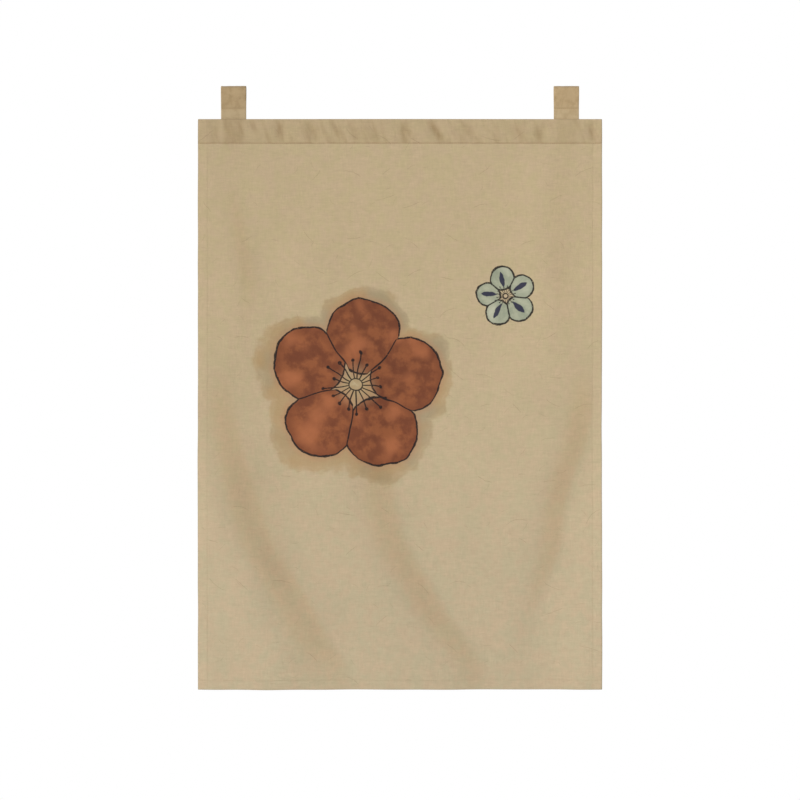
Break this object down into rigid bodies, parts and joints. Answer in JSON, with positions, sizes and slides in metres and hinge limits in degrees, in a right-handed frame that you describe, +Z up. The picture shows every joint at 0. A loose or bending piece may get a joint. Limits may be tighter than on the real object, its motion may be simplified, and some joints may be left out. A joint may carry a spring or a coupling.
{
  "type": "noren curtain",
  "caption": "Flat cloth door curtain with turned side and bottom hems, a stitched heading band and cloth tab loops that hang it from a rod.",
  "frame": {"origin": "the line on which a rod carries the tab loops, at the middle of the curtain's width", "axes": "+Z up, so the curtain hangs below the origin; +X to the right as seen from the front; the front of the cloth faces -Y"},
  "size_m": [0.85, 0.0304, 1.27],
  "materials": {
    "panel_cloth": "matte plain-woven cotton and linen, undyed oatmeal with a printed motif",
    "heading_cloth": "matte plain-woven cotton and linen, doubled over",
    "tab_cloth": "matte plain-woven cotton and linen strap"
  },
  "bodies": {
    "root": {"panel": "panel_cloth", "heading": "heading_cloth", "tab_left": "tab_cloth", "tab_right": "tab_cloth"}
  },
  "joints": []
}
